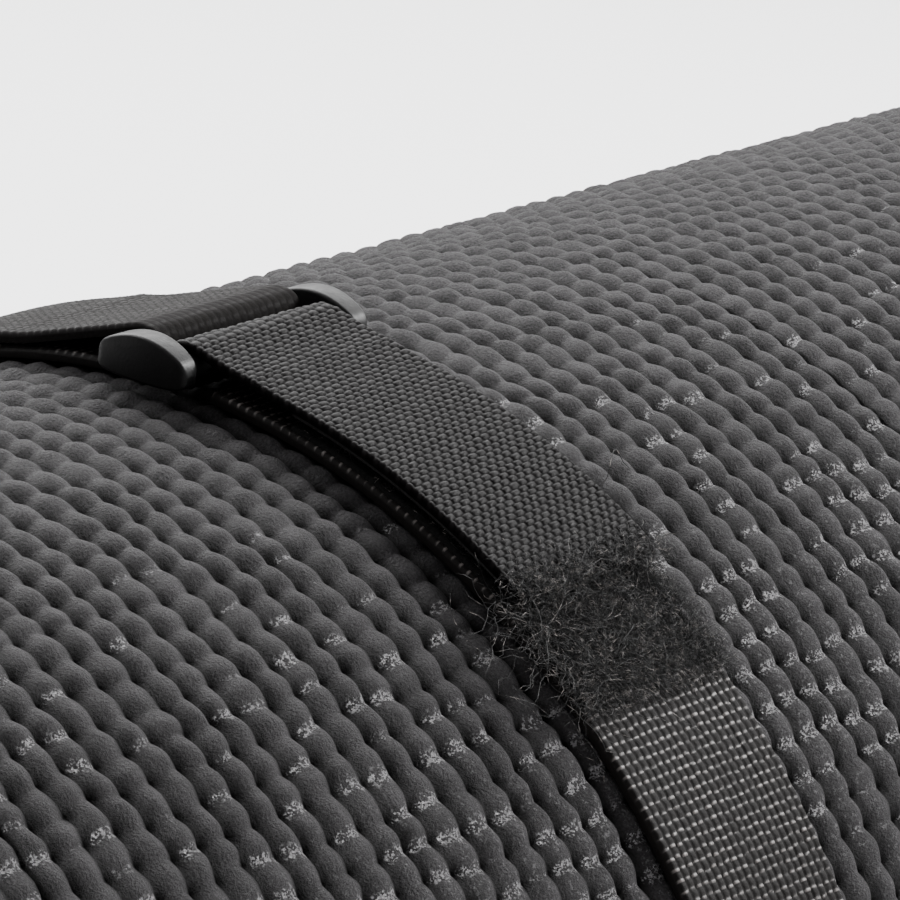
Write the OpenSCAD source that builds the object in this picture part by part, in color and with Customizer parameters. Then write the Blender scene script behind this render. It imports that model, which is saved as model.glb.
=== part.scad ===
// Roll-up exercise mat of laminated foam, held by two webbing straps.
// Each strap passes up through a plastic ring, folds back over the ring's bar and
// closes on itself with a hook pad and a loop patch.
// X runs along the roll, Z is up, the strap tails face -Y, and the origin is on the
// flattened underside at mid length.

/* [Mat] */
// Width of the mat, which is the length of the roll
mat_w = 610; // [500:5:700]
// Outer radius of the roll
roll_r = 92; // [90:0.5:96]
// Thickness of the laminated foam
foam_t = 12.7; // [12.2:0.1:12.9]
// Thickness of the woven scrim in the middle of the foam
scrim_t = 0.5; // [0.3:0.1:0.8]
// Air gap between two turns
turn_gap = 0.4; // [0.3:0.05:0.5]
// Half turns in the roll, an odd number
half_turns = 11; // [9:2:11]
// How far below the roll's middle line the outer edge of the mat ends, in degrees
lap_angle = 25; // [20:1:30]
// Rounding of the mat's outer edge
edge_round = 5; // [4:0.5:6]
// How much the roll's underside is pressed flat
base_flat = 1.5; // [1.2:0.1:2]

/* [Straps] */
// Distance of each strap from mid length
strap_x = 150; // [120:5:180]
// Width of the webbing
strap_w = 25; // [22:0.5:28]
// Thickness of the webbing
web_t = 1.3; // [1.1:0.1:1.4]
// Play between the webbing and the foam
strap_play = 0.3; // [0.3:0.05:0.4]
// How far a strap can be pushed along the roll each way
slide_reach = 15; // [10:1:20]
// Length of the sewn lap behind the ring
lap_len = 68; // [60:1:80]

/* [Ring] */
// Place of the ring on the roll, in degrees from the top towards the front
ring_angle = 7; // [5:0.5:9]
// Distance between the ring's two bars
bar_gap = 7.5; // [7.4:0.1:8]
// Diameter of each bar
bar_d = 2.8; // [2.4:0.1:2.8]
// Free width between the end posts
ring_open = 26.4; // [26:0.2:30]
// Thickness of each end post along the roll
post_w = 3.4; // [2.8:0.2:4]
// Length of each end post around the roll
post_len = 12.4; // [12:0.2:16]
// Height of the end posts at their crown
post_crown = 5.2; // [4.8:0.2:6]
// Height of the end posts at their tips
post_tip = 3; // [2:0.1:3.4]

/* [Tail and closure] */
// Thickness of the tape that makes the tail
tail_t = 1; // [0.8:0.1:1]
// Thickness of the hook pad under the tail
hook_t = 0.8; // [0.6:0.1:0.9]
// Thickness of the loop patch on the webbing
loop_t = 1; // [0.8:0.1:1.1]
// Angle at which the tail ends
tail_end = 38.3; // [36:0.1:40]
// Angle at which the tail bends when its tip is lifted
tail_bend = 26; // [24:0.5:28]
// Angle at which the hook pad and the loop patch start
patch_start = 18; // [17:0.5:20]
// Angle at which the loop patch ends, past the tail
patch_end = 46; // [44:0.5:50]
// Clearance between the hook pad and the loop patch
closure_play = 0.3; // [0.3:0.05:0.4]

/* [Hidden] */
$fn = 96;
side_names = ["left", "right"];

// The roll is a two-centre spiral: upper half turns about A, lower half turns about B.
half_step = (foam_t + turn_gap) / 2;
low_r = roll_r - half_step;
b_y = half_step * cos(lap_angle);
b_z = low_r - base_flat;
a_z = b_z - half_step * sin(lap_angle);
layer_t = (foam_t - scrim_t) / 2;

// Clearances that keep thin neighbours apart
bend_gap = 0.36;
stitch_lift = 0.02;

// Keys that join one curved slab to the next
key_len = 2;
key_inset = 0.5;

// The strap's inside face follows the roll, then bridges the step at the mat's outer edge.
band_r = roll_r + strap_play;
band_low_r = low_r + strap_play;
corner_off = roll_r - edge_round;
corner_tilt = asin(edge_round / corner_off);
corner_r = edge_round + strap_play;
corner_y = -corner_off * cos(corner_tilt);
bridge_d = norm([corner_y - half_step, edge_round]);
bridge_normal = 180 - atan(edge_round / (half_step - corner_y))
    + acos((band_low_r - corner_r) / bridge_d);
bridge_len = sqrt(pow(bridge_d, 2) - pow(band_low_r - corner_r, 2));

// The strap's run under the base, which is straight and clear of the floor
run_z = 0.25;
run_half = sqrt(pow(band_low_r, 2) - pow(b_z - run_z - web_t, 2)) + 0.3;
relief_z = run_z + web_t + strap_play;
relief_w = strap_w + 2 * slide_reach + 2;

// The ring's frame: heights are above the foam, places are towards the front.
bar_r = bar_d / 2;
bar_play = 0.3;
bar_z = strap_play + web_t + bar_play + bar_r;
far_bar = -bar_gap / 2;
near_bar = bar_gap / 2;
eye_r = bar_r + bar_play;
post_z = 1.3;
band_start = ring_angle + (near_bar + eye_r + web_t + 0.4) / roll_r * 180 / PI;

// Heights of the closure's layers above the foam
lap_z = strap_play + web_t;
loop_z = strap_play + web_t;
hook_z = loop_z + loop_t + closure_play;
tail_z = hook_z + hook_t;
lap_ramp = 19;
tail_ramp = 8;

// Flats that make up a fold's round eye and its run along the roll
eye_steps = 18;
run_steps = 16;

// Stitching
stitch_len = 2.6;
stitch_w = 0.5;
stitch_t = 0.35;
stitch_inset = 2.5;
stitch_row = 6;

webbing_colour = [0.11, 0.10, 0.10];
tape_colour = [0.19, 0.17, 0.18];
pile_colour = [0.05, 0.05, 0.05];
foam_colour = [0.22, 0.21, 0.22];
scrim_colour = [0.35, 0.34, 0.33];
ring_colour = [0.12, 0.12, 0.12];

// A point at height z over the foam, in the Y-Z plane of a frame on the roll's surface
function surface_point(z, angle) =
    [-(roll_r + z) * sin(angle), (roll_r + z) * cos(angle) - roll_r];

// An arc's length on the foam as an angle
function degrees_of(arc) = arc / roll_r * 180 / PI;

// Puts a shape drawn in X and Y upright, with its X along Y and its Z along the roll.
module upright(x = 0) {
    translate([x, 0, 0]) rotate([90, 0, 90]) children();
}

// Places children on the foam at an angle from the top: Z points out, -Y to the front.
module on_roll(angle, x = 0) {
    translate([x, 0, a_z]) rotate([angle, 0, 0]) translate([0, 0, roll_r]) children();
}

// A curved slab about a centre in the Y-Z plane; angles are from +Y towards +Z.
module arc_slab(centre, r, t, a0, a1, w) {
    translate([-w / 2, centre[0], centre[1]])
        rotate([90, 0, 90])
            rotate([0, 0, a0])
                rotate_extrude(angle = a1 - a0)
                    translate([r, 0]) square([t, w]);
}

// A key inside the slabs that meet at angle a, which makes them one piece
module seam_key(centre, r, t, a, w) {
    translate([key_inset - w / 2, centre[0], centre[1]])
        rotate([90, 0, 90])
            rotate([0, 0, a])
                translate([r + t / 4, -key_len / 2, 0]) cube([t / 2, key_len, w - 2 * key_inset]);
}

// A slab on the upper half of the roll; angles are from the top towards the front.
module roll_slab(z, t, from, to, w) {
    arc_slab([0, a_z], roll_r + z, t, 90 + from, 90 + to, w);
}

// The side of a fold: round a bar's eye, straight down to the roll's layer at height z,
// then along that layer. way is 1 towards the front and -1 towards the back, and out is
// the distance from the fold's inside face.
function fold_side(bar, way, z, reach, end_angle, out) =
    let (
        centre = [-bar, bar_z],
        foot = (bar + way * reach) / (roll_r + z) * 180 / PI,
        drop = surface_point(z, foot) - centre,
        slope = atan2(drop[1], drop[0]) + (way > 0 ? 360 : 0),
        last = slope - way * acos(eye_r / norm(drop)),
        first = way > 0 ? -90 : 270,
        stop = end_angle - ring_angle
    )
    concat(
        [for (i = [0 : eye_steps])
            let (a = first + (last - first) * i / eye_steps)
            centre + (eye_r + out) * [cos(a), sin(a)]],
        [for (i = [0 : run_steps])
            surface_point(z + out, foot + (stop - foot) * i / run_steps)]);

function reversed(list) = [for (i = [len(list) - 1 : -1 : 0]) list[i]];

// Webbing folded round a bar and laid on the layer at height z as far as end_angle
module fold(bar, way, z, reach, end_angle, t, w) {
    on_roll(ring_angle)
        upright(-w / 2)
            linear_extrude(w)
                polygon(concat(fold_side(bar, way, z, reach, end_angle, 0),
                    reversed(fold_side(bar, way, z, reach, end_angle, t))));
}

// One layer of the rolled foam, depth below the outer face and thickness
module spiral_layer(depth, t) {
    for (i = [0 : half_turns - 1]) {
        upper = i % 2 == 0;
        centre = upper ? [0, a_z] : [b_y, b_z];
        r = roll_r - i * half_step - depth - t;
        a0 = lap_angle + (upper ? 0 : 180);
        arc_slab(centre, r, t, a0, a0 + 180, mat_w);
        if (i < half_turns - 1) seam_key(centre, r, t, a0, mat_w);
    }
}

// What is taken off the outer layer: its edge, the flat base and the straps' reliefs
module edge_cut() {
    reach = 2 * edge_round;
    translate([0, 0, a_z]) rotate([lap_angle, 0, 0])
        upright(-mat_w / 2 - 1)
            linear_extrude(mat_w + 2)
                difference() {
                    translate([corner_y - reach, -1]) square([reach, edge_round + 1]);
                    translate([corner_y, edge_round]) circle(edge_round);
                }
}

module base_cut() {
    translate([-mat_w / 2 - 1, b_y - 60, -20]) cube([mat_w + 2, 120, 20]);
    for (side = [-1, 1])
        translate([side * strap_x - relief_w / 2, b_y - 60, -1])
            cube([relief_w, 120, relief_z + 1]);
}

module face_foam() {
    color(foam_colour)
        difference() {
            spiral_layer(0, layer_t);
            edge_cut();
            base_cut();
        }
}

module scrim() {
    color(scrim_colour) spiral_layer(layer_t, scrim_t);
}

module back_foam() {
    color(foam_colour) spiral_layer(layer_t + scrim_t, layer_t);
}

// The webbing from the front of the ring, down the front, under, up the back and over
module strap_band(x) {
    color(webbing_colour)
        translate([x, 0, 0]) {
            roll_slab(strap_play, web_t, band_start, 90 + lap_angle - corner_tilt, strap_w);
            translate([0, 0, a_z]) rotate([lap_angle, 0, 0]) bridge();
            seam_key([b_y, b_z], band_low_r, web_t, lap_angle + bridge_normal, strap_w);
            seam_key([0, a_z], band_r, web_t, lap_angle, strap_w);
            difference() {
                arc_slab([b_y, b_z], band_low_r, web_t,
                    lap_angle + bridge_normal, lap_angle + 360, strap_w);
                translate([-strap_w, b_y - run_half, run_z - 10])
                    cube([2 * strap_w, 2 * run_half, 10 + web_t / 2]);
            }
            translate([-strap_w / 2, b_y - run_half, run_z])
                cube([strap_w, 2 * run_half, web_t]);
            arc_slab([0, a_z], band_r, web_t,
                lap_angle, 90 + ring_angle + degrees_of(far_bar), strap_w);
        }
}

// The webbing's bend round the mat's edge and its straight run to the turn below
module bridge() {
    arc_slab([corner_y, edge_round], corner_r, web_t,
        180 - corner_tilt, bridge_normal, strap_w);
    for (a = [180 - corner_tilt, bridge_normal])
        seam_key([corner_y, edge_round], corner_r, web_t, a, strap_w);
    translate([0, corner_y, edge_round]) rotate([bridge_normal, 0, 0])
        translate([-strap_w / 2, corner_r, 0]) cube([strap_w, web_t, bridge_len]);
}

// The strap's end, folded round the far bar and lapped back on the band
module strap_lap(x) {
    color(webbing_colour)
        translate([x, 0, 0])
            fold(far_bar, -1, lap_z, lap_ramp, ring_angle - degrees_of(lap_len), web_t, strap_w);
}

// Rows of thread across the lap and along its edges, near its end
module lap_stitching(x) {
    across = floor((strap_w - 2 * stitch_inset) / (stitch_len + 1));
    first = ring_angle - degrees_of(lap_len - 3);
    color("black")
        for (row = [0, 1, 2, 3], i = [0 : across - 1])
            on_roll(first + degrees_of(row * stitch_row),
                    x + (i - (across - 1) / 2) * (stitch_len + 1))
                translate([-stitch_len / 2, -stitch_w / 2, lap_z + web_t + stitch_lift])
                    cube([stitch_len, stitch_w, stitch_t]);
}

// The pile that the hooks take hold of, on the band's outer face
module loop_patch(x) {
    color(pile_colour)
        translate([x, 0, 0]) roll_slab(loop_z, loop_t, patch_start, patch_end, strap_w - 1);
}

// The ring: two round bars between two arched end posts
module ring(x) {
    color(ring_colour)
        on_roll(ring_angle, x) {
            for (bar = [far_bar, near_bar])
                translate([-ring_open / 2 - post_w / 2, -bar, bar_z])
                    rotate([0, 90, 0]) cylinder(r = bar_r, h = ring_open + post_w);
            for (side = [-1, 1])
                translate([side * (ring_open + post_w) / 2, 0, post_z]) end_post();
        }
}

// An end post, flat below and arched on top, with rounded tips
module end_post() {
    half = post_len / 2;
    rise = post_crown - post_tip;
    arch_r = (half * half + rise * rise) / (2 * rise);
    intersection() {
        translate([-post_w / 2, -half, 0]) cube([post_w, post_len, post_crown]);
        translate([-post_w, 0, post_crown - arch_r])
            rotate([0, 90, 0]) cylinder(r = arch_r, h = 2 * post_w);
    }
}

// The tape through the ring: round the near bar and down on to the closure
module tail_root(x) {
    color(tape_colour)
        translate([x, 0, 0])
            fold(near_bar, 1, tail_z, tail_ramp, tail_bend, tail_t, strap_w);
}

module hook_root(x) {
    color(pile_colour)
        translate([x, 0, 0]) roll_slab(hook_z, hook_t, patch_start, tail_bend, strap_w - 0.6);
}

module tail_tip(x) {
    color(tape_colour)
        translate([x, 0, 0])
            roll_slab(tail_z, tail_t, tail_bend + degrees_of(bend_gap), tail_end, strap_w);
}

module hook_tip(x) {
    color(pile_colour)
        translate([x, 0, 0])
            roll_slab(hook_z, hook_t, tail_bend + degrees_of(bend_gap), tail_end - 0.4,
                strap_w - 0.6);
}

face_foam();
scrim();
back_foam();

for (i = [0, 1]) {
    x = (2 * i - 1) * strap_x;
    name = side_names[i];
    strap_band(x);
    strap_lap(x);
    lap_stitching(x);
    loop_patch(x);
    ring(x);
    tail_root(x);
    hook_root(x);
    tail_tip(x);
    hook_tip(x);
}
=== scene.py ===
"""A rolled foam exercise mat held by two ring-and-tape webbing straps.

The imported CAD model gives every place: the roll is a two-centre spiral, and each strap is
laid out in the Y-Z plane round it. Angles on the roll are from the top towards the front.
"""
import bpy
import math
import numpy as np
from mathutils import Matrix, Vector


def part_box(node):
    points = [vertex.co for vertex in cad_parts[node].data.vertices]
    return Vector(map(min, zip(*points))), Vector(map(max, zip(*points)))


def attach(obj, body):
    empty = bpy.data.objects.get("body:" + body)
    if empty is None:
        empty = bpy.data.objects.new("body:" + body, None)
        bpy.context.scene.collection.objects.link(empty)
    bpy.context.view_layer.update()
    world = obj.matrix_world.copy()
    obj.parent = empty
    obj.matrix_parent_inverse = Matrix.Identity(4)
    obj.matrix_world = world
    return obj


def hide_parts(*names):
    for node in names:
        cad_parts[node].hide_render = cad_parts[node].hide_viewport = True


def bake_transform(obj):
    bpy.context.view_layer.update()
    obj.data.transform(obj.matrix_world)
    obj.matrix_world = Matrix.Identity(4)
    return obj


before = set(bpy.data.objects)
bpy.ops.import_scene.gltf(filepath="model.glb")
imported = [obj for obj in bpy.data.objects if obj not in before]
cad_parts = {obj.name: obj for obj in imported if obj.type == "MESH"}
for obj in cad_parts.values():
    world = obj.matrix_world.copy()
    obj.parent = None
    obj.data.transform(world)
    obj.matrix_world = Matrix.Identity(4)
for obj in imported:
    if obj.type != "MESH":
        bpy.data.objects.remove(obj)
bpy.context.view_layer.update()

MM = 0.001
PI = math.pi

# ---- the roll, as the CAD lays it out ----
foam_low, foam_high = (np.array(corner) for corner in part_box("face_foam"))
ROLL_R = 92 * MM
FOAM_T = 12.7 * MM
SCRIM_T = 0.5 * MM
HALF_STEP = 6.55 * MM
HALF_TURNS = 11
LAP = math.radians(25)
EDGE_ROUND = 5 * MM
MAT_W = foam_high[0] - foam_low[0]
TOP_CENTRE = np.array([0.0, foam_high[2] - ROLL_R])
LOW_CENTRE = TOP_CENTRE + HALF_STEP * np.array([math.cos(LAP), math.sin(LAP)])
LOW_R = ROLL_R - HALF_STEP

# ---- the pebbled skin ----
COLUMNS = 139
ROWS = 141
PITCH_X = MAT_W / COLUMNS
PITCH_S = 4.0 * MM
PILLOW_H = 1.5 * MM
SKIN_T = 2.4 * MM
BULGE = 0.08 * MM
# Where along the mat the glossy saddles with painted glints are densest, and how fast they thin out.
GLOSS_AND_GLINT_S = 88 * MM
GLOSS_AND_GLINT_FADE = 78 * MM
# Painted highlight: the light base colour mixed in where the foam's saddles glint.
PAINTED_GLINT = (0.30, 0.29, 0.30, 1)

# ---- the straps ----
STRAP_W = 25 * MM
WEB_T = 1.3 * MM
PLAY = 0.3 * MM
RUN_Z = 0.25 * MM
RELIEF_Z = RUN_Z + WEB_T + PLAY
RELIEF_W = 57 * MM
RING_ANGLE = math.radians(7)
BAR_GAP = 7.5 * MM
BAR_R = 1.4 * MM
BAR_Z = PLAY + WEB_T + 0.3 * MM + BAR_R
EYE_R = BAR_R + 0.3 * MM
RING_OPEN = 26.4 * MM
POST_W = 3.4 * MM
POST_LEN = 12.4 * MM
POST_BASE = 1.3 * MM
POST_TOP = 6.5 * MM
POST_TIP = 3.0 * MM
LAP_RAMP = 19 * MM
TAIL_RAMP = 8 * MM
LAP_LEN = 68 * MM
LAP_Z = PLAY + WEB_T
LOOP_T = 1.0 * MM
LOOP_Z = PLAY + WEB_T
HOOK_T = 0.8 * MM
HOOK_Z = LOOP_Z + LOOP_T + 0.3 * MM
TAIL_T = 1.0 * MM
TAIL_Z = HOOK_Z + HOOK_T
TAIL_END = math.radians(38.3)
PATCH_START = math.radians(18)
PATCH_END = math.radians(46)
STRAP_X = {side: float(np.mean([c[0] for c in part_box(side + "_strap_band")]))
           for side in ("left", "right")}


# ---------------------------------------------------------------- noise and meshes
def smooth(t):
    return t * t * (3 - 2 * t)


def noise(u, v, seed, size=64):
    """Smooth value noise in -1..1 with one knot per unit of u and v."""
    knots = np.random.RandomState(seed).uniform(-1, 1, (size, size))
    iu, iv = np.floor(u).astype(int), np.floor(v).astype(int)
    fu, fv = smooth(u - iu), smooth(v - iv)
    a = knots[iu % size, iv % size]
    b = knots[(iu + 1) % size, iv % size]
    c = knots[iu % size, (iv + 1) % size]
    d = knots[(iu + 1) % size, (iv + 1) % size]
    return (a * (1 - fu) + b * fu) * (1 - fv) + (c * (1 - fu) + d * fu) * fv


def new_mesh(name, points, faces, materials, face_slots=None, smooth_faces=True, fields=None):
    """A mesh object from points, faces (lists of point numbers) and per-point fields."""
    mesh = bpy.data.meshes.new(name)
    points = np.asarray(points, dtype=np.float32)
    counts = np.array([len(f) for f in faces]) if isinstance(faces, list) else None
    if counts is None:
        counts = np.full(len(faces), faces.shape[1])
        loops = faces.ravel()
    else:
        loops = np.concatenate([np.asarray(f) for f in faces])
    mesh.vertices.add(len(points))
    mesh.vertices.foreach_set("co", points.ravel())
    mesh.loops.add(len(loops))
    mesh.loops.foreach_set("vertex_index", loops.astype(np.int32))
    mesh.polygons.add(len(counts))
    starts = np.concatenate([[0], np.cumsum(counts)[:-1]]).astype(np.int32)
    mesh.polygons.foreach_set("loop_start", starts)
    if face_slots is not None:
        mesh.polygons.foreach_set("material_index", np.asarray(face_slots, dtype=np.int32))
    mesh.update(calc_edges=True)
    mesh.polygons.foreach_set("use_smooth", np.broadcast_to(smooth_faces, len(counts)).copy())
    for field, values in (fields or {}).items():
        layer = mesh.attributes.new(field, "FLOAT", "POINT")
        layer.data.foreach_set("value", np.asarray(values, dtype=np.float32).ravel())
    for item in materials:
        mesh.materials.append(item)
    obj = bpy.data.objects.new(name, mesh)
    bpy.context.scene.collection.objects.link(obj)
    return obj


def solid_from_top(name, top, under, materials, fields=None, wall_slot=0):
    """A closed solid: a fine grid on top, and one strip of faces below.

    top is (rows, columns, 3) and under is (rows, 2, 3), below the first and last column.
    """
    rows, cols = top.shape[:2]
    points = np.concatenate([top.reshape(-1, 3), under.reshape(-1, 3)])
    grid = np.arange(rows * cols).reshape(rows, cols)
    low = rows * cols + np.arange(rows * 2).reshape(rows, 2)

    def strip(a, b):
        return np.stack([a[:-1], b[:-1], b[1:], a[1:]], -1)

    quads = [np.stack([grid[:-1, :-1], grid[:-1, 1:], grid[1:, 1:], grid[1:, :-1]], -1).reshape(-1, 4),
             strip(low[:, 1], low[:, 0]), strip(low[:, 0], grid[:, 0]), strip(grid[:, -1], low[:, 1])]
    quads = np.concatenate(quads)
    ends = [np.concatenate([grid[0, ::-1], low[0]]), np.concatenate([grid[-1], low[-1, ::-1]])]
    faces = [*quads, *ends]
    slots = np.zeros(len(faces), dtype=np.int32)
    slots[(rows - 1) * (cols - 1):] = wall_slot
    padded_fields = {k: np.concatenate([v.ravel(), np.zeros(rows * 2)]) for k, v in (fields or {}).items()}
    return new_mesh(name, points, faces, materials, slots, slots_smooth(len(faces), (rows - 1) * (cols - 1)),
                    padded_fields)


def slots_smooth(count, top_count):
    """Smooth shading on the top only, so that neighbouring pieces meet without a line."""
    return np.arange(count) < top_count


# ---------------------------------------------------------------- materials
class Nodes:
    """A material's node tree, with short calls for the nodes that are used here."""

    def __init__(self, name):
        self.material = bpy.data.materials.new(name)
        self.material.use_nodes = True
        self.tree = self.material.node_tree
        self.shader = self.tree.nodes["Principled BSDF"]
        self.place = self.tree.nodes.new("ShaderNodeTexCoord").outputs["Object"]

    def link(self, source, target):
        self.tree.links.new(source, target)

    def set(self, **values):
        names = {"specular": "Specular IOR Level", "sheen": "Sheen Weight",
                 "sheen_roughness": "Sheen Roughness", "coat": "Coat Weight",
                 "coat_roughness": "Coat Roughness", "roughness": "Roughness"}
        for key, value in values.items():
            self.shader.inputs[names[key]].default_value = value

    def noise(self, scale, detail=3.0, rough=0.6):
        node = self.tree.nodes.new("ShaderNodeTexNoise")
        node.inputs["Scale"].default_value = scale
        node.inputs["Detail"].default_value = detail
        node.inputs["Roughness"].default_value = rough
        self.link(self.place, node.inputs["Vector"])
        return node.outputs["Fac"]

    def cells(self, scale):
        node = self.tree.nodes.new("ShaderNodeTexVoronoi")
        node.inputs["Scale"].default_value = scale
        self.link(self.place, node.inputs["Vector"])
        return node.outputs["Distance"]

    def flakes(self, scale):
        """One even random value for each small cell."""
        node = self.tree.nodes.new("ShaderNodeTexVoronoi")
        node.inputs["Scale"].default_value = scale
        self.link(self.place, node.inputs["Vector"])
        split = self.tree.nodes.new("ShaderNodeSeparateColor")
        self.link(node.outputs["Color"], split.inputs[0])
        return split.outputs[0]

    def mix(self, share, first, second):
        node = self.tree.nodes.new("ShaderNodeMix")
        node.data_type = "RGBA"
        colours = [i for i in node.inputs if i.type == "RGBA"]
        self.link(share, node.inputs[0])
        self.link(first, colours[0])
        colours[1].default_value = second
        return next(o for o in node.outputs if o.type == "RGBA")

    def field(self, name):
        node = self.tree.nodes.new("ShaderNodeAttribute")
        node.attribute_name = name
        return node.outputs["Fac"]

    def math(self, operation, a, b):
        node = self.tree.nodes.new("ShaderNodeMath")
        node.operation = operation
        node.use_clamp = operation in ("ADD", "MULTIPLY", "SUBTRACT")
        for socket, value in zip(node.inputs, (a, b)):
            if isinstance(value, (int, float)):
                socket.default_value = value
            else:
                self.link(value, socket)
        return node.outputs[0]

    def ramp(self, value, stops):
        node = self.tree.nodes.new("ShaderNodeValToRGB")
        elements = node.color_ramp.elements
        while len(elements) < len(stops):
            elements.new(0.5)
        for element, (at, colour) in zip(elements, stops):
            element.position = at
            grey = (colour,) * 3 if isinstance(colour, (int, float)) else colour
            element.color = (*grey, 1)
        self.link(value, node.inputs["Fac"])
        return node.outputs["Color"]

    def bump(self, *layers):
        """layers are (height socket, distance in metres), from the coarsest to the finest."""
        normal = None
        for height, distance in layers:
            node = self.tree.nodes.new("ShaderNodeBump")
            node.inputs["Strength"].default_value = 1.0
            node.inputs["Distance"].default_value = distance
            self.link(height, node.inputs["Height"])
            if normal is not None:
                self.link(normal, node.inputs["Normal"])
            normal = node.outputs["Normal"]
        self.link(normal, self.shader.inputs["Normal"])


def foam_skin_material():
    """Dark PVC skin: matte on the pillows; where two pillows meet, glossy, crinkled and painted with glints.
    """
    n = Nodes("foam_skin")
    broad = n.math("MULTIPLY", n.noise(260, 4), 0.40)
    grain = n.math("MULTIPLY", n.noise(3600, 3), 0.60)
    mottle = n.math("ADD", broad, grain)
    fine = n.noise(3200, 4, 0.7)
    # Painted shade: the base colour is darkened, and the specular level lowered, in the pits between pillows.
    pit_shade = n.field("pit_shade")
    shade = n.ramp(n.math("SUBTRACT", mottle, n.math("MULTIPLY", pit_shade, 0.5)),
                   [(0.20, (0.002, 0.0018, 0.0019)), (0.44, (0.0150, 0.0134, 0.0146)),
                    (0.66, (0.0480, 0.0438, 0.0472))])
    # Painted highlight: the glossy saddles' base colour is lightened towards a glint grey.
    patches = n.math("MULTIPLY", n.field("saddle_gloss_and_glint"), n.ramp(n.noise(1500, 3), [(0.34, 0.0), (0.62, 1.0)]))
    gloss_and_painted_glint = n.math("MULTIPLY", n.ramp(patches, [(0.12, 0.0), (0.50, 1.0)]),
                   n.ramp(n.flakes(5200), [(0.42, 0.0), (0.70, 1.0)]))
    n.link(n.mix(gloss_and_painted_glint, shade, PAINTED_GLINT), n.shader.inputs["Base Color"])
    n.link(n.ramp(gloss_and_painted_glint, [(0.0, 0.70), (1.0, 0.26)]), n.shader.inputs["Roughness"])
    shine = n.math("ADD", n.ramp(gloss_and_painted_glint, [(0.0, 0.0), (1.0, 1.0)]), n.ramp(pit_shade, [(0.1, 0.25), (0.8, 0.03)]))
    n.link(shine, n.shader.inputs["Specular IOR Level"])
    crinkle = n.math("MULTIPLY", gloss_and_painted_glint, n.cells(3400))
    n.bump((n.noise(1100, 3), 0.14 * MM), (crinkle, 0.18 * MM), (fine, 0.75 * MM))
    return n.material


def foam_cut_material():
    """The open edge of closed-cell foam."""
    n = Nodes("foam_cut")
    cells = n.cells(1500)
    # Painted shade: each cell is darkest in its hollow, where the bump below is lowest.
    n.link(n.ramp(cells, [(0.0, (0.012, 0.0115, 0.012)), (0.5, (0.034, 0.033, 0.034)),
                          (1.0, (0.050, 0.048, 0.050))]), n.shader.inputs["Base Color"])
    n.bump((n.noise(350, 2), 0.15 * MM), (cells, 0.25 * MM))
    n.set(roughness=0.8)
    return n.material


def scrim_material():
    n = Nodes("scrim_thread")
    n.link(n.ramp(n.noise(1800, 2), [(0.3, (0.05, 0.048, 0.046)), (0.7, (0.16, 0.155, 0.15))]),
           n.shader.inputs["Base Color"])
    n.bump((n.noise(2500, 2), 0.1 * MM))
    n.set(roughness=0.7)
    return n.material


def webbing_material():
    """Polypropylene webbing: dull dark warp, and weft that glints between the warp crowns."""
    n = Nodes("webbing_weave")
    weft = n.field("weft")
    # Painted highlight: the weft dashes get a far lighter base colour as well as their real gloss.
    shade = n.ramp(n.math("ADD", n.math("MULTIPLY", weft, 0.68), n.math("MULTIPLY", n.noise(1500, 3), 0.38)),
                   [(0.15, (0.0045, 0.0038, 0.0036)), (0.45, (0.0098, 0.0083, 0.0079)),
                    (0.95, (0.150, 0.132, 0.126))])
    n.link(shade, n.shader.inputs["Base Color"])
    n.link(n.ramp(weft, [(0.0, 0.72), (1.0, 0.42)]), n.shader.inputs["Roughness"])
    n.bump((n.noise(3500, 3), 0.05 * MM))
    n.link(n.ramp(weft, [(0.0, 0.03), (0.14, 0.09), (1.0, 0.42)]), n.shader.inputs["Specular IOR Level"])
    return n.material


def tape_material():
    """The fine-woven back of nylon hook tape."""
    n = Nodes("tape_weave")
    crown = n.field("crown")
    # Painted shade: the base colour is darkest in the gaps between the weave's crowns.
    shade = n.ramp(n.math("ADD", n.math("MULTIPLY", crown, 0.7), n.math("MULTIPLY", n.noise(700, 3), 0.3)),
                   [(0.15, (0.0011, 0.0009, 0.0009)), (0.60, (0.0036, 0.0029, 0.0030)),
                    (0.95, (0.0062, 0.0050, 0.0052))])
    n.link(shade, n.shader.inputs["Base Color"])
    n.link(n.ramp(n.noise(2200, 2), [(0.4, 0.55), (0.75, 0.36)]), n.shader.inputs["Roughness"])
    n.bump((n.noise(4000, 3), 0.05 * MM))
    n.link(n.ramp(crown, [(0.3, 0.02), (0.9, 0.07)]), n.shader.inputs["Specular IOR Level"])
    return n.material


def pile_material(name, base, rough):
    n = Nodes(name)
    n.link(n.ramp(n.noise(900, 3), [(0.3, base), (0.8, tuple(2.2 * c for c in base))]),
           n.shader.inputs["Base Color"])
    n.bump((n.noise(2600, 4), 0.25 * MM))
    n.set(roughness=rough, specular=0.2)
    return n.material


def fibre_material():
    n = Nodes("loop_fibre")
    n.link(n.ramp(n.noise(900, 2), [(0.42, (0.0012, 0.0011, 0.0011)), (0.58, (0.0055, 0.0048, 0.0046)),
                                       (0.66, (0.19, 0.172, 0.162))]),
           n.shader.inputs["Base Color"])
    n.set(roughness=0.45, specular=0.25)
    return n.material


def plastic_material():
    """Satin moulded plastic with a fine mould grain."""
    n = Nodes("ring_satin")
    n.link(n.ramp(n.noise(120, 3), [(0.3, (0.0022, 0.0021, 0.0022)), (0.7, (0.0042, 0.0040, 0.0043))]),
           n.shader.inputs["Base Color"])
    n.link(n.ramp(n.noise(700, 3), [(0.35, 0.40), (0.7, 0.52)]), n.shader.inputs["Roughness"])
    n.bump((n.noise(2600, 3), 0.03 * MM))
    n.set(specular=0.20)
    return n.material


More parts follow.
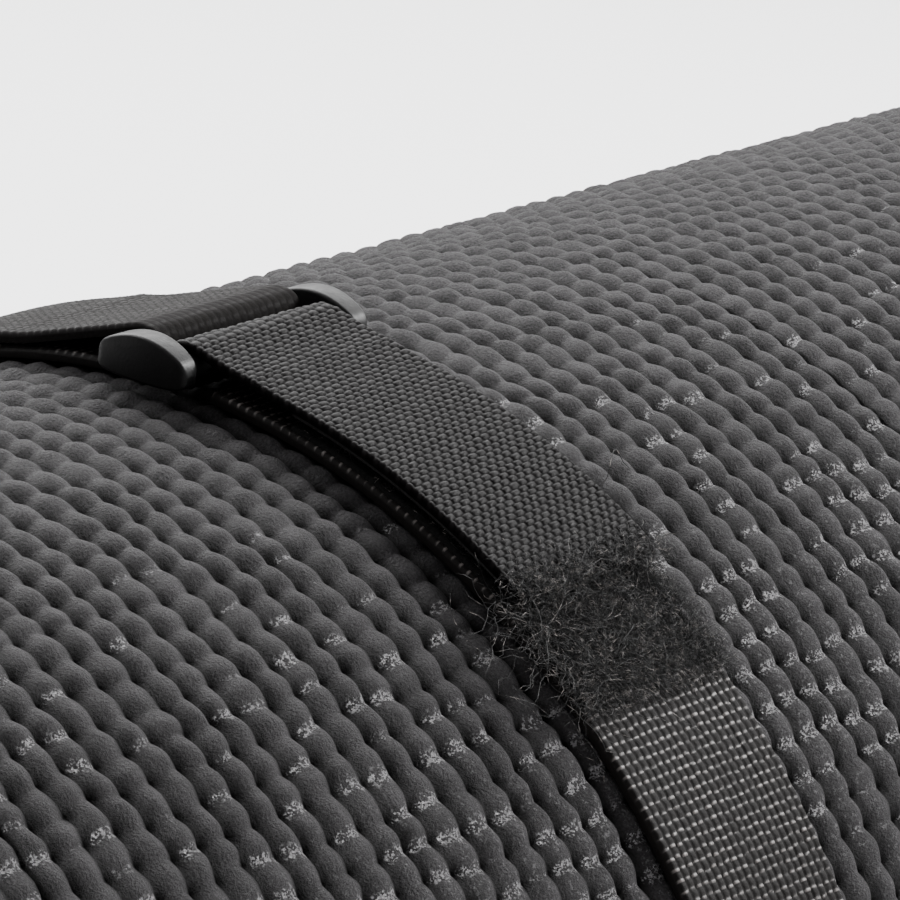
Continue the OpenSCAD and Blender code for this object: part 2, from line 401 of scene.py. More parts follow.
SKIN = foam_skin_material()
CUT = foam_cut_material()
SCRIM = scrim_material()
WEBBING = webbing_material()
TAPE = tape_material()
LOOP = pile_material("loop_ground", (0.0009, 0.0008, 0.0008), 0.95)
HOOK = pile_material("hook_ground", (0.007, 0.0065, 0.0065), 0.6)
FIBRE = fibre_material()
PLASTIC = plastic_material()
THREAD = pile_material("sewing_thread", (0.010, 0.0095, 0.0095), 0.5)


# ---------------------------------------------------------------- the mat
def spiral(s):
    """Centre, radius and outward direction at distances s along the mat from its outer edge."""
    radii = ROLL_R - HALF_STEP * np.arange(HALF_TURNS)
    starts = np.concatenate([[0], np.cumsum(PI * radii)])
    turn = np.clip(np.searchsorted(starts, s, side="right") - 1, 0, HALF_TURNS - 1)
    angle = LAP + PI * (1 - turn) - (s - starts[turn]) / radii[turn]
    centre = np.where((turn % 2)[..., None] == 1, LOW_CENTRE, TOP_CENTRE)
    return centre, radii[turn], np.stack([np.cos(angle), np.sin(angle)], -1)


MAT_LEN = PI * float(np.sum(ROLL_R - HALF_STEP * np.arange(HALF_TURNS)))


def wander(row, col):
    """How far the real rows and columns of pillows stray from an even grid."""
    calm = np.clip(np.minimum(col, COLUMNS - col) / 3, 0, 1) * np.clip(row / 3, 0, 1)
    d_row = 0.16 * noise(row * 0.63, col * 0.71, 1) + 0.05 * noise(row * 1.3, col * 1.2, 2)
    d_col = 0.13 * noise(row * 0.57, col * 0.66, 3) + 0.05 * noise(row * 1.4, col * 1.1, 4)
    return calm * d_row, calm * d_col


def straighten(row, col):
    """The even-grid place of a real row and column."""
    even_row, even_col = row, col
    for _ in range(5):
        d_row, d_col = wander(even_row, even_col)
        even_row, even_col = row - d_row, col - d_col
    return PITCH_S * even_row, PITCH_X * even_col - MAT_W / 2


def pillows(s, x):
    """Skin height below the pillows' tops, and masks of the glossy saddles' painted glints and the pits'
    painted shade.
    """
    row, col = s / PITCH_S, (x + MAT_W / 2) / PITCH_X
    d_row, d_col = wander(row, col)
    row, col = row + d_row, col + d_col
    across = np.abs(np.cos(PI * (col - np.floor(col) - 0.5)))
    along = np.abs(np.cos(PI * (row - np.floor(row) - 0.5)))
    belly = 0.36 * along
    ridge = belly + (1 - belly) * across ** 1.05
    swell = 0.69 + 0.31 * along
    size = 1 + 0.12 * noise(row * 0.9, col * 0.9, 5)
    lumps = 0.045 * noise(row * 3.1, col * 3.3, 6) + 0.03 * noise(row * 6.3, col * 6.1, 7)
    height = PILLOW_H * (np.clip(ridge * swell * size, 0, 1.08) - 1.05 + lumps * (0.4 + 0.6 * ridge))
    chance = np.random.RandomState(9).uniform(0, 1, (64, 64))
    lot = chance[np.floor(row + 0.5).astype(int) % 64, np.floor(col).astype(int) % 64]
    # Painted highlight: the glinting saddles' share follows the key light's mirror zone, lower front and
    # right.
    lean = 0.15 * np.clip((x - STRAP_X["left"]) / (60 * MM), -1, 1)
    share = np.clip(1.0 - (s - GLOSS_AND_GLINT_S) / GLOSS_AND_GLINT_FADE + lean, 0, 0.75) * np.clip(s / (90 * MM), 0.2, 1)
    saddle_gloss_and_glint = np.clip(1.2 - along / 0.62, 0, 1) * np.clip((across - 0.22) / 0.3, 0, 1)
    saddle_gloss_and_glint = saddle_gloss_and_glint * np.clip((share - lot) * 3, 0, 1)
    saddle_gloss_and_glint = np.maximum(saddle_gloss_and_glint, 0.25 * share * np.clip((across - 0.3) / 0.3, 0, 1))
    # Mask for painted shade in the pits and grooves between the pillows.
    pit_shade = np.clip(1 - across / 0.6, 0, 1) * (0.45 + 0.55 * np.clip(1 - along / 0.7, 0, 1))
    return height, saddle_gloss_and_glint, pit_shade


def pressed(x):
    """1 under a strap, falling to 0 beside it, where the foam stands a little higher."""
    amount = np.zeros(np.shape(x))
    for middle in STRAP_X.values():
        away = (np.abs(x - middle) - STRAP_W / 2 - 0.4 * MM) / (2.4 * MM)
        amount = np.maximum(amount, 1 - smooth(np.clip(away, 0, 1)))
    return amount


def base_limit(x):
    """The lowest that the foam reaches: the floor, and the straps' relief."""
    limit = np.full(np.shape(x), 0.00002)
    for middle in STRAP_X.values():
        inside = np.clip((RELIEF_W / 2 + 1.0 * MM - np.abs(x - middle)) / (1.0 * MM), 0, 1)
        limit = np.maximum(limit, (RELIEF_Z + 0.02 * MM) * inside)
    return limit


def place_skin(s, x, depth, bulge=BULGE):
    """Points on the outer turn at depth below the pillows' tops, rounded at the mat's edge."""
    centre, radius, out = spiral(s)
    depth = depth - bulge * (1 - pressed(x))
    near = np.clip(1 - s / EDGE_ROUND, 0, 1)
    drop = EDGE_ROUND * (1 - np.sqrt(1 - near ** 2))
    side = np.clip(1 - (MAT_W / 2 - np.abs(x)) / (1.0 * MM), 0, 1)
    drop = drop + 0.6 * MM * (1 - np.sqrt(1 - side ** 2))
    flat = centre + (radius - depth - drop)[..., None] * out
    return np.stack([x, flat[..., 0], np.maximum(flat[..., 1], base_limit(x))], -1)


def meet(row, col, cuts):
    """The edge line of a neighbour that has fewer cuts to a pillow, at every row."""
    knots = np.linspace(row[0], row[-1], int(round((row[-1] - row[0]) * cuts)) + 1)
    at_s, at_x = straighten(knots, np.full(knots.shape, col))
    line = place_skin(at_s, at_x, -pillows(at_s, at_x)[0])
    return np.stack([np.interp(row, knots, line[:, k]) for k in range(3)], -1)


def skin_patch(name, rows, cols, cuts, left_cuts, right_cuts):
    """The skin over a block of pillows, with a number of cuts to each pillow."""
    row = np.linspace(*rows, (rows[1] - rows[0]) * cuts + 1)
    col = np.linspace(*cols, (cols[1] - cols[0]) * cuts + 1)
    s, x = straighten(*np.meshgrid(row, col, indexing="ij"))
    height, saddle_gloss_and_glint, pit_shade = pillows(s, x)
    top = place_skin(s, x, -height)
    top[:, 0] = meet(row, col[0], left_cuts)
    top[:, -1] = meet(row, col[-1], right_cuts)
    edge = np.array([0, -1])
    under = place_skin(s[:, edge], x[:, edge], np.full(s[:, edge].shape, SKIN_T), 0.0)
    under[..., 2] = np.maximum(under[..., 2], base_limit(x[:, edge]) + 0.2 * MM)
    obj = solid_from_top(name, top, under, [SKIN, CUT], {"saddle_gloss_and_glint": saddle_gloss_and_glint, "pit_shade": pit_shade}, 1)
    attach(obj, "mat")
    return obj


def mat_skin():
    """The outer turn's skin: finest round the left strap's closure."""
    near_rows, near_cols = (13, 57), (14, 72)
    blocks = [("edge", (0, near_rows[0]), (0, COLUMNS), (4, 4, 4), 1),
              ("left", near_rows, (0, near_cols[0]), (4, 4, 4), 1),
              ("near", near_rows, near_cols, (4, 10, 6), 3),
              ("right", near_rows, (near_cols[1], COLUMNS), (6, 6, 6), 2),
              ("back", (near_rows[1], 100), (0, COLUMNS), (4, 4, 4), 1),
              ("under", (100, ROWS), (0, COLUMNS), (4, 4, 4), 1)]
    for name, rows, cols, (left_cuts, cuts, right_cuts), count in blocks:
        ends = np.linspace(*cols, count + 1).astype(int)
        for i in range(count):
            skin_patch(f"mat_skin_{name}_{i}", rows, (ends[i], ends[i + 1]), cuts,
                       left_cuts if i == 0 else cuts, right_cuts if i == count - 1 else cuts)


def mat_body():
    """The rolled sheet below the skin, with its cut ends and the scrim's line."""
    s = np.linspace(0, MAT_LEN, int(MAT_LEN / (0.9 * MM)))
    centre, radius, out = spiral(s)
    outer = s < ROWS * PITCH_S - 1 * MM
    half = MAT_W / 2
    columns = np.array([-half, -half + 0.4 * MM, -half + 2 * MM, -half + 12 * MM])
    columns = np.concatenate([columns, -columns[::-1]])
    layers = np.array([0, (FOAM_T - SCRIM_T) / 2, (FOAM_T + SCRIM_T) / 2, FOAM_T])
    near = np.clip(1 - s / EDGE_ROUND, 0, 1)
    edge_drop = EDGE_ROUND * (1 - np.sqrt(1 - near ** 2))
    points = []
    for layer in layers:
        for x in columns:
            wave = pillows(s, np.full(s.shape, x))[0]
            lift = np.where(outer, -2.0 * MM - edge_drop, 0.7 * wave) if layer == 0 else -layer
            lift = np.maximum(lift, -layer - 5.5 * MM) if layer == 0 else lift
            if layer == FOAM_T:
                lift = lift + 0.08 * MM * noise(s / (4 * MM), s * 0 + x / (4 * MM), 8)
            corner = 0.25 * MM if layer in (0, FOAM_T) and abs(x) > half - 0.1 * MM else 0
            lift = lift + (corner if layer else -corner)
            flat = centre + (radius + lift)[:, None] * out
            z = np.maximum(flat[:, 1], base_limit(np.full(s.shape, x)) + 0.3 * MM)
            points.append(np.stack([np.full(s.shape, x), flat[:, 0], z], -1))
    count, n = len(s), len(columns)
    points = np.array(points).reshape(len(layers), n, count, 3)
    ids = np.arange(len(layers) * n * count).reshape(len(layers), n, count)

    def quads(a, b):
        return np.stack([a[:-1], b[:-1], b[1:], a[1:]], -1)

    faces, slots = [], []
    for j in range(n - 1):
        faces.append(quads(ids[0, j], ids[0, j + 1]))
        slots.append(np.zeros(count - 1))
        faces.append(quads(ids[-1, j + 1], ids[-1, j]))
        slots.append(np.zeros(count - 1))
    for k in range(len(layers) - 1):
        for a, b in ((ids[k + 1, 0], ids[k, 0]), (ids[k, -1], ids[k + 1, -1])):
            faces.append(quads(a, b))
            slots.append(np.full(count - 1, 2 if k == 1 else 1))
        for i, flip in ((0, True), (-1, False)):
            a, b = (ids[k + 1, :, i], ids[k, :, i]) if flip else (ids[k, :, i], ids[k + 1, :, i])
            faces.append(quads(a, b)[:, ::-1])
            slots.append(np.full(n - 1, 2 if k == 1 else 1))
    obj = new_mesh("mat_body", points.reshape(-1, 3), np.concatenate(faces), [SKIN, CUT, SCRIM],
                   np.concatenate(slots))
    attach(obj, "mat")
    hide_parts("face_foam", "scrim", "back_foam")
    return obj


# ---------------------------------------------------------------- strap routes
def circle_points(centre, radius, start, end, step):
    count = max(2, int(abs(end - start) * radius / step) + 1)
    a = np.linspace(start, end, count)
    out = np.stack([np.cos(a), np.sin(a)], -1)
    return np.asarray(centre) + radius * out, out


def join(*parts):
    """Routes laid end to end, as (points, outward directions, distances)."""
    points = np.concatenate([p for p, _ in parts])
    out = np.concatenate([o for _, o in parts])
    keep = np.concatenate([[True], np.linalg.norm(np.diff(points, axis=0), axis=1) > 1e-7])
    points, out = points[keep], out[keep]
    along = np.concatenate([[0], np.cumsum(np.linalg.norm(np.diff(points, axis=0), axis=1))])
    return points, out, along


def resample(route, step):
    points, out, along = route
    s = np.linspace(0, along[-1], max(2, int(round(along[-1] / step)) + 1))
    points = np.stack([np.interp(s, along, points[:, k]) for k in (0, 1)], -1)
    out = np.stack([np.interp(s, along, out[:, k]) for k in (0, 1)], -1)
    out /= np.linalg.norm(out, axis=1)[:, None]
    return points, out, s


def roll_run(z, start, end, step=0.5 * MM):
    """Along the top of the roll at height z over the foam; angles from the top to the front."""
    return circle_points(TOP_CENTRE, ROLL_R + z, PI / 2 + start, PI / 2 + end, step)


def on_ring(y, z):
    """A point of the ring's own frame: y is towards the back and z is out from the foam."""
    c, s = math.cos(RING_ANGLE), math.sin(RING_ANGLE)
    return TOP_CENTRE + np.array([y * c - (ROLL_R + z) * s, y * s + (ROLL_R + z) * c])


def fold_route(bar, way, z, reach, end_angle):
    """Round a ring bar, down to height z over the foam, and on to end_angle."""
    eye = on_ring(-bar, BAR_Z)
    foot = RING_ANGLE + (bar + way * reach) / (ROLL_R + z)
    foot_point = TOP_CENTRE + (ROLL_R + z) * np.array([-math.sin(foot), math.cos(foot)])
    drop = foot_point - eye
    slope = math.atan2(drop[1], drop[0]) + (2 * PI if way > 0 else 0)
    last = slope - way * math.acos(EYE_R / np.linalg.norm(drop))
    first = RING_ANGLE + (-PI / 2 if way > 0 else 1.5 * PI)
    around = circle_points(eye, EYE_R, first, last, 0.15 * MM)
    around = (eye + square_off(around[1], way) * (around[0] - eye), around[1])
    ramp_out = np.array([math.cos(last), math.sin(last)])
    ramp = np.linspace(around[0][-1], foot_point, 24)
    run = roll_run(z, foot, end_angle)
    points, out, along = join(around, (ramp, np.tile(ramp_out, (24, 1))), run)
    # ease the corner where the ramp meets the roll
    bend = along - np.interp(np.argmax(np.linalg.norm(points - foot_point, axis=1) < 1e-6),
                             np.arange(len(along)), along)
    ease = np.clip(1 - np.abs(bend) / (5 * MM), 0, 1) ** 2
    return points + out * (0.35 * MM * ease)[:, None], out, along


def square_off(out, way):
    """The fold is creased over its flat bar on the side that faces the ring's gap."""
    tilted = np.stack([out[:, 0] * math.cos(RING_ANGLE) + out[:, 1] * math.sin(RING_ANGLE),
                       -out[:, 0] * math.sin(RING_ANGLE) + out[:, 1] * math.cos(RING_ANGLE)], -1)
    spread = (np.abs(tilted) ** 3.4).sum(axis=1) ** (-1 / 3.4)
    spread = spread * (1 + 0.2 * np.abs(tilted[:, 0]))
    return np.where(way * tilted[:, 0] > 0, spread, 1.0)[:, None]


def band_route():
    """From under the tail down the front, round the base, up the back and over to the ring."""
    tilt = math.asin(EDGE_ROUND / (ROLL_R - EDGE_ROUND))
    corner = np.array([-(ROLL_R - EDGE_ROUND) * math.cos(tilt), EDGE_ROUND])
    to_low = corner - np.array([HALF_STEP, 0])
    corner_r, low_r = EDGE_ROUND + PLAY, LOW_R + PLAY
    normal = PI - math.atan2(EDGE_ROUND, -to_low[0]) + math.acos((low_r - corner_r) / np.linalg.norm(to_low))
    turn = np.array([[math.cos(LAP), -math.sin(LAP)], [math.sin(LAP), math.cos(LAP)]])
    corner = TOP_CENTRE + turn @ corner
    start = RING_ANGLE + (BAR_GAP / 2 + EYE_R + WEB_T + 0.4 * MM) / ROLL_R
    bend = circle_points(corner, corner_r, LAP + PI - tilt, LAP + normal, 0.3 * MM)
    low = circle_points(LOW_CENTRE, low_r, LAP + normal, LAP + 2 * PI, 0.5 * MM)
    bridge = np.linspace(bend[0][-1], low[0][0], 60)
    over = circle_points(TOP_CENTRE, ROLL_R + PLAY, LAP, PI / 2 + RING_ANGLE - BAR_GAP / 2 / ROLL_R, 0.5 * MM)
    return join(roll_run(PLAY, start, PI / 2 + LAP - tilt), bend,
                (bridge, np.tile(bend[1][-1], (60, 1))), low, over)


def part_of(route, start, end):
    """The stretch of a route between two distances along it."""
    points, out, along = route
    keep = (along >= start) & (along <= end)
    return points[keep], out[keep], along[keep]


# ---------------------------------------------------------------- weaves
def webbing_weave(s, x):
    """Heavy webbing: warp crowns in a square grid, and weft glinting in the gaps between."""
    pitch = 1.19 * MM
    col, row = x / pitch, s / pitch
    shift = 0.07 * noise(row * 0.8, col * 0.9, 21)
    row = row + 0.5 * (np.floor(col) % 2) * 0.16 + shift
    col_wave = np.abs(np.cos(PI * (col - np.floor(col) - 0.5)))
    row_wave = np.abs(np.cos(PI * (row - np.floor(row) - 0.5)))
    crown = col_wave ** 0.5 * (0.15 + 0.85 * row_wave ** 0.6)
    dash = np.clip(2.2 * (1 - row_wave / 0.52), 0, 1) * np.clip((col_wave - 0.22) / 0.22, 0, 1)
    dash = dash * np.clip(0.8 + 0.5 * noise(np.floor(row) * 1.3, np.floor(col) * 1.7, 22), 0, 1)
    height = 0.28 * MM * (crown - 1) + 0.18 * MM * dash
    # The weft field carries painted glints; its floor of 0.16 paints the whole band lighter than the lap.
    return height, {"weft": np.maximum(dash, 0.16)}


def lap_weave(s, x):
    """The same webbing, pressed flat where it turns round the bar, and painted darker as shade, most near the
    bar.
    """
    height, fields = webbing_weave(s, x)
    calm = np.clip((s - 6.5 * MM) / (3 * MM), 0, 1)
    return height * (0.25 + 0.35 * calm), {"weft": fields["weft"] * (0.12 + 0.20 * calm)}


def tape_weave(s, x):
    """Fine weave: plump oval crowns across the tape, laid like bricks."""
    pitch_x, pitch_s = 1.60 * MM, 0.80 * MM
    col, row = x / pitch_x, s / pitch_s
    row = row + 0.16 * noise(row * 0.45, col * 0.8, 23) + 0.22 * col
    col = col + 0.5 * (np.floor(row) % 2) + 0.12 * noise(row * 0.4, col * 0.9, 26)
    col_wave = np.abs(np.cos(PI * (col - np.floor(col) - 0.5)))
    row_wave = np.abs(np.cos(PI * (row - np.floor(row) - 0.5)))
    crown = np.sqrt(col_wave) * np.sqrt(row_wave)
    size = 1 + 0.2 * noise(np.floor(row) * 1.1, np.floor(col) * 1.9, 24)
    return 0.26 * MM * (crown * size - 1), {"crown": crown}


def pile_ground(s, x):
    return 0.12 * MM * noise(s / (0.5 * MM), x / (0.5 * MM), 25), {}


def ribbon(name, route, middle, width, thick, weave, step, material, edge=0.5 * MM, taper=None):
    """A closed strip of webbing along a route, woven on its outer face."""
    points, out, s = resample(route, step)
    count = int(round(width / step)) + 1
    x = np.linspace(-width / 2, width / 2, count)
    x = np.sign(x) * width / 2 * (1 - (1 - np.abs(x) * 2 / width) ** 1.0)
    grid_s, grid_x = np.meshgrid(s + route[2][0], x, indexing="ij")
    height, fields = weave(grid_s, grid_x + width / 2)
    rim = np.clip(1 - (width / 2 - np.abs(grid_x)) / edge, 0, 1)
    lift = thick + height * (1 - rim) - 0.45 * thick * (1 - np.sqrt(np.clip(1 - rim ** 2, 0, 1)))
    if taper is not None:
        lift = lift - taper(grid_s, grid_x)
    lift = np.maximum(lift, 0.12 * MM)
    flat = points[:, None, :] + out[:, None, :] * lift[..., None]
    z = np.maximum(flat[..., 1], RUN_Z)
    top = np.stack([grid_x + middle, flat[..., 0], z], -1)
    sides = np.array([x[0], x[-1]]) + middle
    under = np.stack([np.tile(sides, (len(s), 1)),
                      np.tile(points[:, :1], (1, 2)),
                      np.tile(np.maximum(points[:, 1:], RUN_Z + WEB_T), (1, 2))], -1)
    return solid_from_top(name, top[:, ::-1] if turns_back(points, out) else top,
                          under[:, ::-1] if turns_back(points, out) else under,
                          [material], {k: v[:, ::-1] if turns_back(points, out) else v
                                       for k, v in fields.items()})


def turns_back(points, out):
    """True where the route runs so that its outside would be the grid's underside."""
    ahead = points[1] - points[0]
    return float(ahead[0] * out[0][1] - ahead[1] * out[0][0]) < 0


# ---------------------------------------------------------------- strap pieces
def strap_pieces(side):
    middle = STRAP_X[side]
    near = side == "left"
    step = 0.165 * MM if near else 0.35 * MM
    strap, ring_body = side + "_strap", side + "_ring"
    end_body = side + "_tail_end"

    route = band_route()
    length = route[2][-1]
    cuts = [0, 95 * MM, length]
    for i, (a, b) in enumerate(zip(cuts, cuts[1:])):
        piece = ribbon(f"{side}_band_{i}", part_of(route, a - 0.3 * MM, b + 0.3 * MM), middle, STRAP_W,
                       WEB_T, webbing_weave, step if i == 0 else 0.4 * MM, WEBBING)
        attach(piece, strap)
    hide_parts(side + "_strap_band")

    lap = fold_route(-BAR_GAP / 2, -1, LAP_Z, LAP_RAMP, RING_ANGLE - LAP_LEN / ROLL_R)
    piece = ribbon(side + "_lap", lap, middle, STRAP_W, WEB_T, lap_weave, step, WEBBING)
    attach(piece, strap)
    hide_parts(side + "_strap_lap")

    tail = fold_route(BAR_GAP / 2, 1, TAIL_Z, TAIL_RAMP, TAIL_END)
    piece = ribbon(side + "_tail", tail, middle, STRAP_W, TAIL_T, tape_weave, step * 0.8, TAPE,
                   taper=lambda s, x: tip_wear(s, x, tail[2][-1]))
    blend_tail(piece)
    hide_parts(side + "_tail_root", side + "_tail_tip")

    hook = roll_run(TAIL_Z - 0.02 * MM, PATCH_START, TAIL_END - 0.004)
    hook = join((hook[0], -hook[1]))
    piece = ribbon(side + "_hook_pad", hook, middle, STRAP_W - 0.6 * MM, HOOK_T, hook_field,
                   0.25 * MM if near else 0.4 * MM, HOOK)
    blend_tail(piece)
    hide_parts(side + "_hook_root", side + "_hook_tip")

    patch = join(roll_run(LOOP_Z - 0.05 * MM, PATCH_START, PATCH_END))
    piece = ribbon(side + "_loop_pile", patch, middle, STRAP_W - 1 * MM, 0.55 * MM, pile_ground,
                   0.3 * MM, LOOP, taper=lambda s, x: pile_wear(s, x, patch[2][-1]))
    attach(piece, strap)
    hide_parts(side + "_loop_patch")

    ring_piece(side, middle, ring_body)
    lap_thread(side, middle, strap)
    fuzz(side, middle, strap, end_body, 1.0 if near else 0.4)


def tip_wear(s, x, length):
    """The tape thins and frays over its last few millimetres."""
    ragged = 1.2 * MM * noise(x / (1.3 * MM), x * 0 + 3.0, 31)
    left = length - s + ragged
    return 0.55 * MM * np.clip(1 - left / (3.0 * MM), 0, 1) ** 1.5


def pile_wear(s, x, length):
    """The pile's ground thins out raggedly at its end."""
    ragged = 1.6 * MM * noise(x / (2.1 * MM), s / (1.9 * MM), 32)
    return 0.6 * MM * np.clip(1 - (length - s + ragged - 1.5 * MM) / (1.2 * MM), 0, 1)


def hook_field(s, x):
    """Rows of short hooks."""
    row, col = s / (0.9 * MM), x / (0.7 * MM)
    peak = np.abs(np.cos(PI * row)) ** 2 * np.abs(np.cos(PI * col)) ** 2
    return -0.35 * MM * (1 - peak), {}


def blend_tail(piece):
    """Bakes the piece's placement into its mesh points."""
    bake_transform(piece)


# ---------------------------------------------------------------- ring
def loft(sections):
    """Points and faces of a closed loft through rings of equal count, capped at both ends."""
    count, size = len(sections), len(sections[0])
    points = np.concatenate(sections)
    faces = []
    for i in range(count - 1):
        for j in range(size):
            k = (j + 1) % size
            faces.append((i * size + j, i * size + k, (i + 1) * size + k, (i + 1) * size + j))
    faces.append(tuple(range(size))[::-1])
    faces.append(tuple((count - 1) * size + j for j in range(size)))
    return points, faces


def rounded_box(width, low, high, radius):
    """Outline in X and Z of a box with round corners, eight points to a corner."""
    corners = [(width / 2, high, 0), (-width / 2, high, 1), (-width / 2, low, 2), (width / 2, low, 3)]
    outline = []
    for x, z, quarter in corners:
        cx, cz = x - math.copysign(radius, x), z + (-radius if quarter < 2 else radius)
        for i in range(8):
            a = quarter * PI / 2 + i / 7 * PI / 2
            outline.append((cx + radius * math.cos(a), cz + radius * math.sin(a)))
    return outline


def ring_piece(side, middle, body):
    """Two round bars between two arched posts, with softly rounded edges."""
    points, faces = [], []

    def add(part):
        base = sum(len(p) for p in points)
        points.append(part[0])
        faces.extend(tuple(base + i for i in f) for f in part[1])

    def to_world(x, y, z):
        flat = on_ring(y, z)
        return (middle + x, flat[0], flat[1])

    for sign in (-1, 1):
        sections = []
        for t in np.sin(np.linspace(-PI / 2, PI / 2, 33)):
            end = 1 - abs(t) ** 22
            top = POST_BASE + POST_TIP + (POST_TOP - POST_BASE - POST_TIP) * (1 - t * t)
            low = POST_BASE + 0.5 * MM * t ** 4
            width = POST_W * (0.72 + 0.28 * (1 - t ** 2)) * (0.55 + 0.45 * end)
            radius = min(0.42 * MM, width * 0.3)
            squeeze = (1 - end) * 0.42 * (top - low)
            outline = rounded_box(width, low + squeeze * 0.5, top - squeeze, radius * (0.4 + 0.6 * end))
            sections.append(np.array([to_world(sign * (RING_OPEN + POST_W) / 2 + x, -t * POST_LEN / 2, z)
                                      for x, z in outline]))
        add(loft(sections))
    for bar in (-1, 1):
        sections = []
        for x in np.linspace(-(RING_OPEN + POST_W) / 2, (RING_OPEN + POST_W) / 2, 9):
            a = np.linspace(0, 2 * PI, 24, endpoint=False)
            t_bar = bar * BAR_GAP / 2
            sections.append(np.array([to_world(x, t_bar + BAR_R * math.cos(t), BAR_Z + BAR_R * math.sin(t))
                                      for t in a]))
        add(loft(sections))
    obj = new_mesh(side + "_ring_moulding", np.concatenate(points), faces, [PLASTIC])
    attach(obj, body)
    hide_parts(side + "_ring")
    return obj


# ---------------------------------------------------------------- thread and fibres
def tube(path, radius, sides=5):
    """Points and faces of a thin closed tube along a path, thinner at its ends."""
    path = np.asarray(path)
    ahead = np.gradient(path, axis=0)
    ahead /= np.linalg.norm(ahead, axis=1)[:, None] + 1e-12
    guide = np.array([0.31, 0.87, 0.38])
    across = np.cross(ahead, guide)
    across /= np.linalg.norm(across, axis=1)[:, None] + 1e-12
    up = np.cross(ahead, across)
    sections = []
    for i in range(len(path)):
        thin = 0.45 if i in (0, len(path) - 1) else 1.0
        a = np.arange(sides) * 2 * PI / sides
        round_it = np.cos(a)[:, None] * across[i] + np.sin(a)[:, None] * up[i]
        sections.append(path[i] + radius * thin * round_it)
    return loft(sections)


def many_tubes(name, paths, radius, material, sides=5):
    points, faces, base = [], [], 0
    for i, path in enumerate(paths):
        p, f = tube(path, radius[i] if hasattr(radius, "__len__") else radius, sides)
        points.append(p)
        faces.extend(tuple(base + k for k in face) for face in f)
        base += len(p)
    return new_mesh(name, np.concatenate(points), faces, [material])


def roll_frame(angle, z):
    """The point at an angle and height on the roll, its outward and its forward direction."""
    out = np.array([0, -math.sin(angle), math.cos(angle)])
    forward = np.array([0, -math.cos(angle), -math.sin(angle)])
    return np.array([0, TOP_CENTRE[0], TOP_CENTRE[1]]) + (ROLL_R + z) * out, out, forward


def lap_thread(side, middle, body):
    """Rows of machine stitches that close the lap."""
    paths = []
    for row in range(4):
        angle = RING_ANGLE - (LAP_LEN - 3 * MM) / ROLL_R + row * 6 * MM / ROLL_R
        base, out, _ = roll_frame(angle, LAP_Z + WEB_T)
        for i in range(6):
            start = middle + (i - 3) * 3.6 * MM + 0.5 * MM
            t = np.linspace(0, 1, 7)[:, None]
            bow = np.sin(PI * t) * 0.22 * MM - 0.08 * MM
            paths.append(base + out * bow + np.array([start, 0, 0]) + np.array([2.6 * MM, 0, 0]) * t)
    obj = many_tubes(side + "_lap_thread", paths, 0.2 * MM, THREAD, 6)
    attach(obj, body)
    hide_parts(side + "_lap_stitching")


def fuzz(side, middle, strap, end_body, density):
    """Loop fibres and strays past the tail, the tail's frayed tip, and the pile pressed flat under it."""
    random = np.random.RandomState(40)
    paths, radii = [], []

    def grow(count, angles, spread, height, length, lift, thick):
        for _ in range(int(count * density)):
            base, out, forward = roll_frame(random.uniform(*angles), LOOP_Z + random.uniform(*height) * MM)
            base = base + np.array([middle + random.uniform(*spread) * STRAP_W, 0, 0])
            paths.append(curl(random, base, out, forward, random.uniform(*length) * MM, lift))
            radii.append(random.uniform(*thick) * MM)

    last = PATCH_END
    grow(5200, (TAIL_END - 0.02, last - 0.012), (-0.50, 0.52), (0.2, 1.0), (0.9, 2.6), 0.6, (0.015, 0.030))
    grow(1500, (last - 0.03, last + 0.016), (-0.50, 0.52), (0.1, 0.7), (0.9, 2.8), 0.4, (0.015, 0.028))
    grow(900, (TAIL_END - 0.02, last - 0.01), (-0.54, 0.15), (0.7, 1.9), (2.5, 7.0), 0.6, (0.018, 0.034))
    grow(190, (TAIL_END - 0.01, last), (-0.66, -0.30), (0.4, 1.6), (6.0, 14.0), 0.6, (0.020, 0.036))
    obj = many_tubes(side + "_loop_fibres", paths, radii, FIBRE, 4)
    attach(obj, strap)
    paths, radii = [], []
    lift = TAIL_Z - LOOP_Z
    low, high = (lift + 0.3 * TAIL_T) / MM, (lift + 1.02 * TAIL_T) / MM
    tip = (TAIL_END - 0.035, TAIL_END + 0.006)
    grow(900, tip, (-0.5, 0.5), (low, high), (1.2, 4.0), 0.25, (0.018, 0.034))
    grow(1, (TAIL_END - 0.10, TAIL_END - 0.10), (0.5, 0.5), (high, high), (9.0, 9.0), 2.2, (0.05, 0.05))
    obj = many_tubes(side + "_tail_fray", paths, radii, FIBRE, 4)
    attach(obj, end_body)
    random = np.random.RandomState(41)
    paths, radii = [], []
    covered = (PATCH_START + 0.01, TAIL_END)
    grow(2500, covered, (-0.46, 0.46), (0.50, 0.70), (1.2, 2.4), 0.10, (0.018, 0.032))
    obj = many_tubes(side + "_loop_pressed", paths, radii, FIBRE, 4)
    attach(obj, strap)


def curl(random, base, out, forward, length, lift):
    """One fibre: it rises, wanders and lies over."""
    steps = 8
    side = np.array([1.0, 0, 0])
    heading = out * random.uniform(0.1, 1.0) * lift + forward * random.uniform(-0.6, 1.0) \
        + side * random.uniform(-1, 1)
    path = [base]
    for _ in range(steps):
        heading = heading / (np.linalg.norm(heading) + 1e-9)
        path.append(path[-1] + heading * length / steps)
        heading = heading + 0.55 * (side * random.uniform(-1, 1) + forward * random.uniform(-1, 1)
                                    + out * random.uniform(-1.0, 0.55))
        rise = float((path[-1] - base) @ out)
        if rise < 0:
            heading = heading + out * 0.8
    return np.array(path)


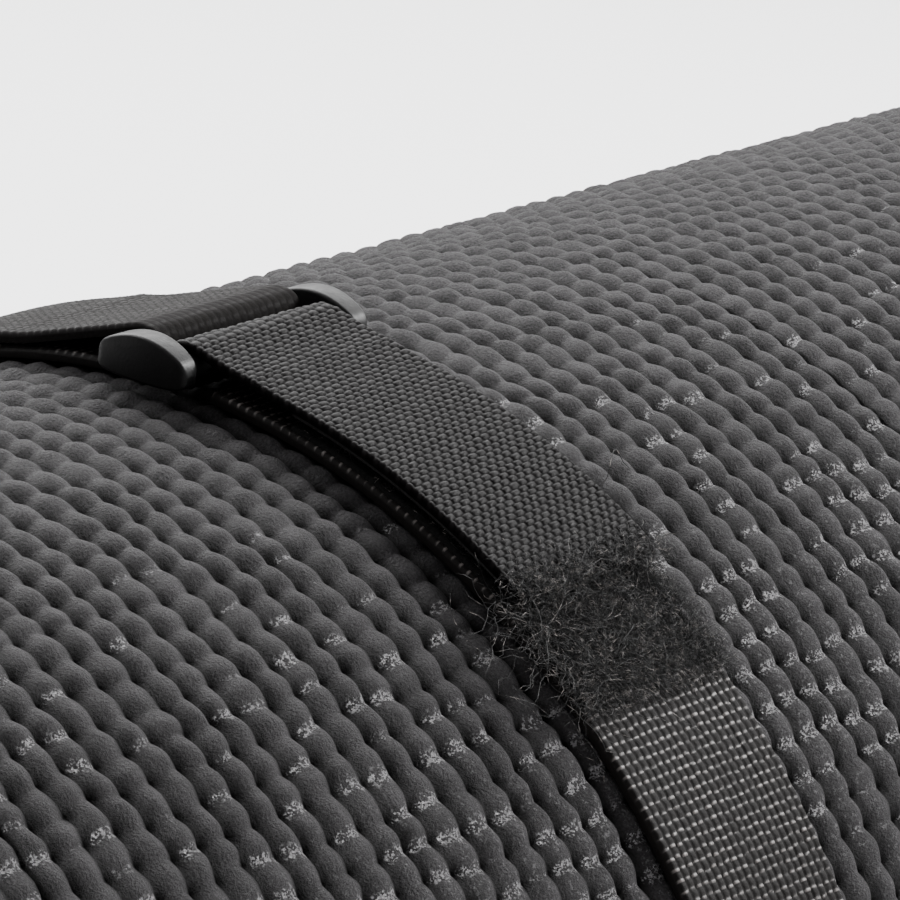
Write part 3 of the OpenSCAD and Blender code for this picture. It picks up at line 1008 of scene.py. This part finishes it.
# ---------------------------------------------------------------- stage
def stage():
    floor_size = 6.0
    mesh = bpy.data.meshes.new("floor")
    half = floor_size / 2
    corners = [(-half, -half, 0), (half, -half, 0), (half, half, 0), (-half, half, 0)]
    mesh.from_pydata(corners, [], [(0, 1, 2, 3)])
    floor = bpy.data.objects.new("floor", mesh)
    bpy.context.scene.collection.objects.link(floor)
    n = Nodes("floor_paint")
    n.shader.inputs["Base Color"].default_value = (0.88, 0.88, 0.885, 1)
    n.set(roughness=0.7)
    mesh.materials.append(n.material)
    world = bpy.data.worlds.new("studio")
    bpy.context.scene.world = world
    world.use_nodes = True
    world.node_tree.nodes["Background"].inputs["Color"].default_value = (1, 1, 1, 1)
    world.node_tree.nodes["Background"].inputs["Strength"].default_value = 0.42


def area_light(name, towards, distance, size, power, target):
    """A softbox in a direction from the target."""
    towards = Vector(towards).normalized()
    data = bpy.data.lights.new(name, "AREA")
    data.shape = "RECTANGLE"
    data.size, data.size_y = size
    data.energy = power
    lamp = bpy.data.objects.new(name, data)
    lamp.location = Vector(target) + towards * distance
    lamp.rotation_euler = towards.to_track_quat("Z", "Y").to_euler()
    bpy.context.scene.collection.objects.link(lamp)


def camera():
    """A long lens close to the left strap's closure, level and looking down a little."""
    azimuth, elevation = math.radians(-53.0), math.radians(13.5)
    distance = 670 * MM
    at_angle = math.radians(23.5)
    y, z = TOP_CENTRE + ROLL_R * np.array([-math.sin(at_angle), math.cos(at_angle)])
    target = Vector((STRAP_X["left"], float(y), float(z)))
    back = Vector((math.sin(azimuth) * math.cos(elevation), -math.cos(azimuth) * math.cos(elevation),
                   math.sin(elevation)))
    data = bpy.data.cameras.new("camera")
    data.sensor_width = 36
    data.lens = 250
    data.clip_start = 0.01
    obj = bpy.data.objects.new("camera", data)
    aside = Vector((math.cos(azimuth), math.sin(azimuth), 0))
    target = target + aside * 3.5 * MM + back.cross(aside) * 1.25 * MM
    obj.location = target + back * distance
    obj.rotation_euler = back.to_track_quat("Z", "Y").to_euler()
    bpy.context.scene.collection.objects.link(obj)
    bpy.context.scene.camera = obj
    return target


target = camera()
stage()
area_light("back_softbox", (0.62, 0.42, 0.66), 1.4, (1.3, 1.3), 31, target)
area_light("floor_softbox", (0.0, 0.25, 1.0), 1.9, (2.6, 2.2), 240, target + Vector((0.5, 2.0, 0)))
area_light("key_softbox", (0.78, -0.42, 0.47), 1.3, (0.42, 0.42), 35, target)
mat_body()
mat_skin()
for strap_side in ("left", "right"):
    strap_pieces(strap_side)
